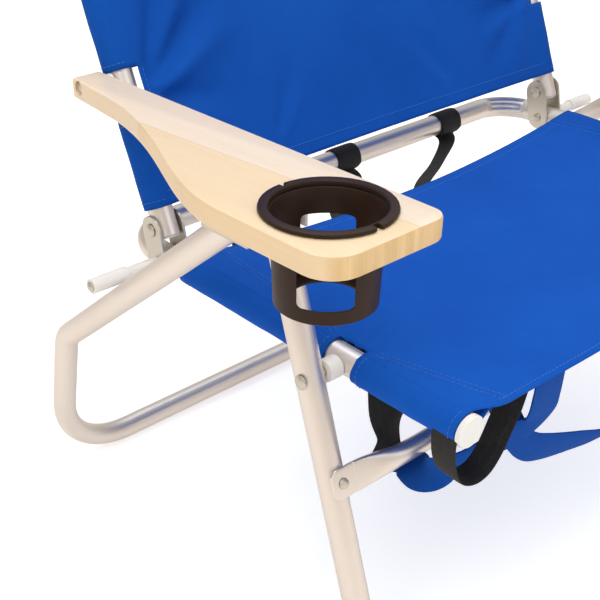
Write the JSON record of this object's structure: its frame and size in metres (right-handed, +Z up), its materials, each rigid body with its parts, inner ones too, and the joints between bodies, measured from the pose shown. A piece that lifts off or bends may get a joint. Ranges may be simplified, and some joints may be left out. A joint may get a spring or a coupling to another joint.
{
  "type": "folding beach chair",
  "caption": "Low folding beach chair: bent aluminium tube frame, blue sling seat and back, wooden armrests, black cup holder and backpack straps",
  "frame": {"origin": "on the ground, at the middle of the chair's length and width in its upright pose", "axes": "+X towards the front, +Y towards the sitter's left, +Z up"},
  "size_m": [0.5872, 0.772, 0.8263],
  "materials": {
    "anodised_aluminium": "satin clear-anodised tube",
    "plated_steel": "zinc plated, satin",
    "white_nylon": "moulded, satin",
    "white_rubber": "moulded, matte",
    "blue_fabric": "woven polyester canvas with double lockstitched hems",
    "black_webbing": "ribbed polyester webbing",
    "birch_wood": "clear matte lacquer on glued boards",
    "black_plastic": "moulded, semi-gloss"
  },
  "bodies": {
    "seat": {"seat_frame": "anodised_aluminium", "seat_spreader_bar": "anodised_aluminium", "seat_fabric": "blue_fabric", "webbing_right": "black_webbing", "webbing_middle": "black_webbing", "webbing_left": "black_webbing", "seat_plug_right": "white_nylon", "seat_plug_left": "white_nylon", "hinge_plate_outer_right": "plated_steel", "hinge_plate_outer_left": "plated_steel", "hinge_plate_inner_right": "plated_steel", "hinge_plate_inner_left": "plated_steel", "hinge_bolt_right": "plated_steel", "hinge_bolt_left": "plated_steel", "support_pin_right": "plated_steel", "support_pin_left": "plated_steel", "pin_collar_right": "white_nylon", "pin_collar_left": "white_nylon", "pin_sleeve_right": "white_nylon", "pin_sleeve_left": "white_nylon", "leg_pivot_bolt_right": "plated_steel", "leg_pivot_bolt_left": "plated_steel", "leg_spacer_right": "white_nylon", "leg_spacer_left": "white_nylon", "corner_loop_right": "black_webbing", "corner_loop_left": "black_webbing", "shoulder_strap_right": "blue_fabric", "shoulder_strap_left": "blue_fabric"},
    "back": {"back_frame": "anodised_aluminium", "back_fabric": "blue_fabric", "back_tube_plug_right": "white_nylon", "back_tube_plug_left": "white_nylon", "arm_washer_right": "white_nylon", "arm_washer_left": "white_nylon"},
    "arm_right": {"armrest_right": "birch_wood", "arm_bolt_right": "plated_steel", "arm_bracket_right": "plated_steel", "bracket_screw_front_right": "plated_steel", "bracket_screw_rear_right": "plated_steel", "leg_top_pin_right": "plated_steel", "cup_holder": "black_plastic"},
    "arm_left": {"armrest_left": "birch_wood", "arm_bolt_left": "plated_steel", "arm_bracket_left": "plated_steel", "bracket_screw_front_left": "plated_steel", "bracket_screw_rear_left": "plated_steel", "leg_top_pin_left": "plated_steel"},
    "front_legs": {"leg_brace": "anodised_aluminium", "front_leg_right": "anodised_aluminium", "front_leg_left": "anodised_aluminium", "foot_cap_right": "white_rubber", "foot_cap_left": "white_rubber", "brace_rivet_right": "plated_steel", "brace_rivet_left": "plated_steel"},
    "rear_frame": {"rear_leg_frame": "anodised_aluminium", "leg_top_spacer_right": "white_nylon", "leg_top_spacer_left": "white_nylon"}
  },
  "joints": [
    {"name": "back_recline", "type": "hinge", "parent": "seat", "child": "back", "pos_m": [-0.0564, 0, 0.3005], "axis": [0, -1, 0], "range_deg": [-102, 36]},
    {"name": "arm_right_pivot", "type": "hinge", "parent": "back", "child": "arm_right", "pos_m": [-0.1034, -0.29, 0.4195], "axis": [0, -1, 0], "range_deg": [-36, 102]},
    {"name": "arm_left_pivot", "type": "hinge", "parent": "back", "child": "arm_left", "pos_m": [-0.1034, 0.29, 0.4195], "axis": [0, -1, 0], "range_deg": [-36, 102]},
    {"name": "front_legs_swing", "type": "hinge", "parent": "seat", "child": "front_legs", "pos_m": [0.1701, 0, 0.273], "axis": [0, -1, 0], "range_deg": [-102, 36]},
    {"name": "rear_frame_swing", "type": "hinge", "parent": "front_legs", "child": "rear_frame", "pos_m": [0.1231, 0, 0.392], "axis": [0, -1, 0], "range_deg": [-27, 76.5]}
  ],
  "couplings": [
    {"joint": "arm_right_pivot", "follows": "back_recline", "ratio": -1},
    {"joint": "arm_left_pivot", "follows": "back_recline", "ratio": -1},
    {"joint": "front_legs_swing", "follows": "back_recline", "ratio": 1},
    {"joint": "rear_frame_swing", "follows": "back_recline", "ratio": -0.75}
  ]
}
